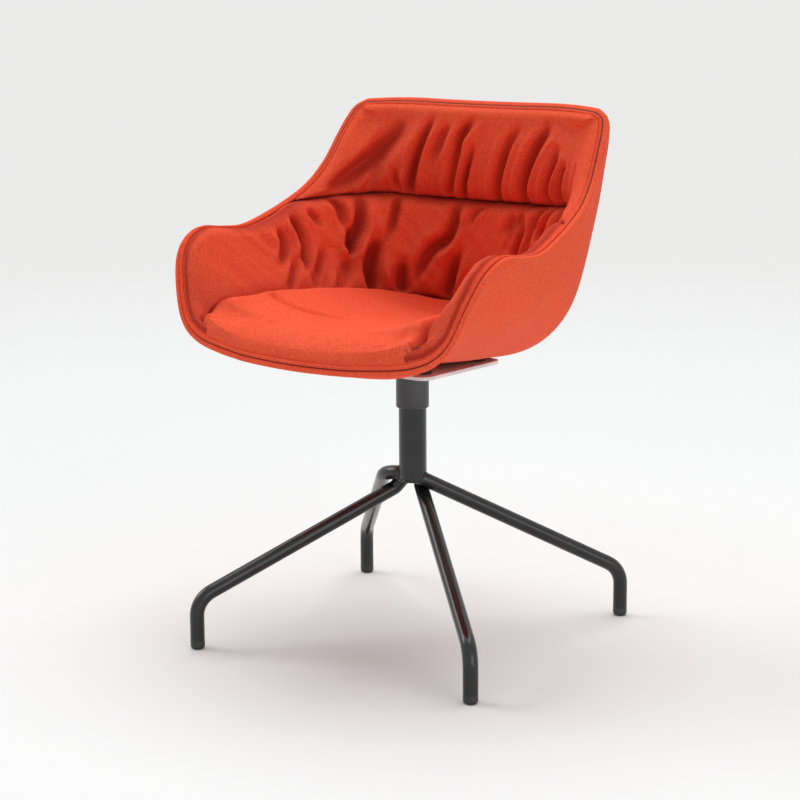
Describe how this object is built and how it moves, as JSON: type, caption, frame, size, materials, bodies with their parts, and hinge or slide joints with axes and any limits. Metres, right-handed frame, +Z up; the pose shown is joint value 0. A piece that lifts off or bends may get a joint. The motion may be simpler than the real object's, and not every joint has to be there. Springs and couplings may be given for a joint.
{
  "type": "swivel armchair",
  "caption": "Upholstered bucket armchair with a quilted inside and a rim band, turning on a column with splayed bent tube legs.",
  "frame": {"origin": "on the floor under the column's axis, at the middle of the overall footprint", "axes": "+Z up along the column, -Y towards the front of the seat, +X to the right arm seen from the front"},
  "size_m": [0.5907, 0.5574, 0.8086],
  "materials": {
    "black_powder_coat": "gloss",
    "grey_powder_coat": "satin",
    "plate_paint": "satin",
    "bare_steel": "machined",
    "bearing_plastic": "matt",
    "glide_plastic": "satin",
    "spacer_rubber": "matt",
    "shell_plastic": "matt",
    "wool_felt": "felted wool, red-orange melange"
  },
  "bodies": {
    "base": {"rear_leg_tube": "black_powder_coat", "front_leg_tube": "black_powder_coat", "front_left_glide": "glide_plastic", "front_right_glide": "glide_plastic", "rear_left_glide": "glide_plastic", "rear_right_glide": "glide_plastic", "column_tube": "black_powder_coat", "lower_bush": "bearing_plastic", "upper_bush": "bearing_plastic", "steel_thrust_washer": "bare_steel", "nylon_thrust_washer": "bearing_plastic"},
    "seat": {"spindle": "bare_steel", "retaining_washer": "bare_steel", "retaining_ring": "bare_steel", "seat_hub": "bare_steel", "column_sleeve": "grey_powder_coat", "seat_plate": "plate_paint", "outer_cover": "wool_felt", "moulded_shell": "shell_plastic", "shell_inserts": "bare_steel", "seat_screws": "bare_steel", "seat_spacers": "spacer_rubber", "rim_band": "wool_felt", "rim_piping": "wool_felt", "foam_lining": "wool_felt", "seat_pad": "wool_felt", "lower_back_pad": "wool_felt", "upper_back_pad": "wool_felt", "left_arm_pad": "wool_felt", "right_arm_pad": "wool_felt"}
  },
  "joints": [
    {"name": "seat_swivel", "type": "hinge", "parent": "base", "child": "seat", "pos_m": [0, 0, 0.4016], "axis": [0, 0, 1], "continuous": true}
  ]
}
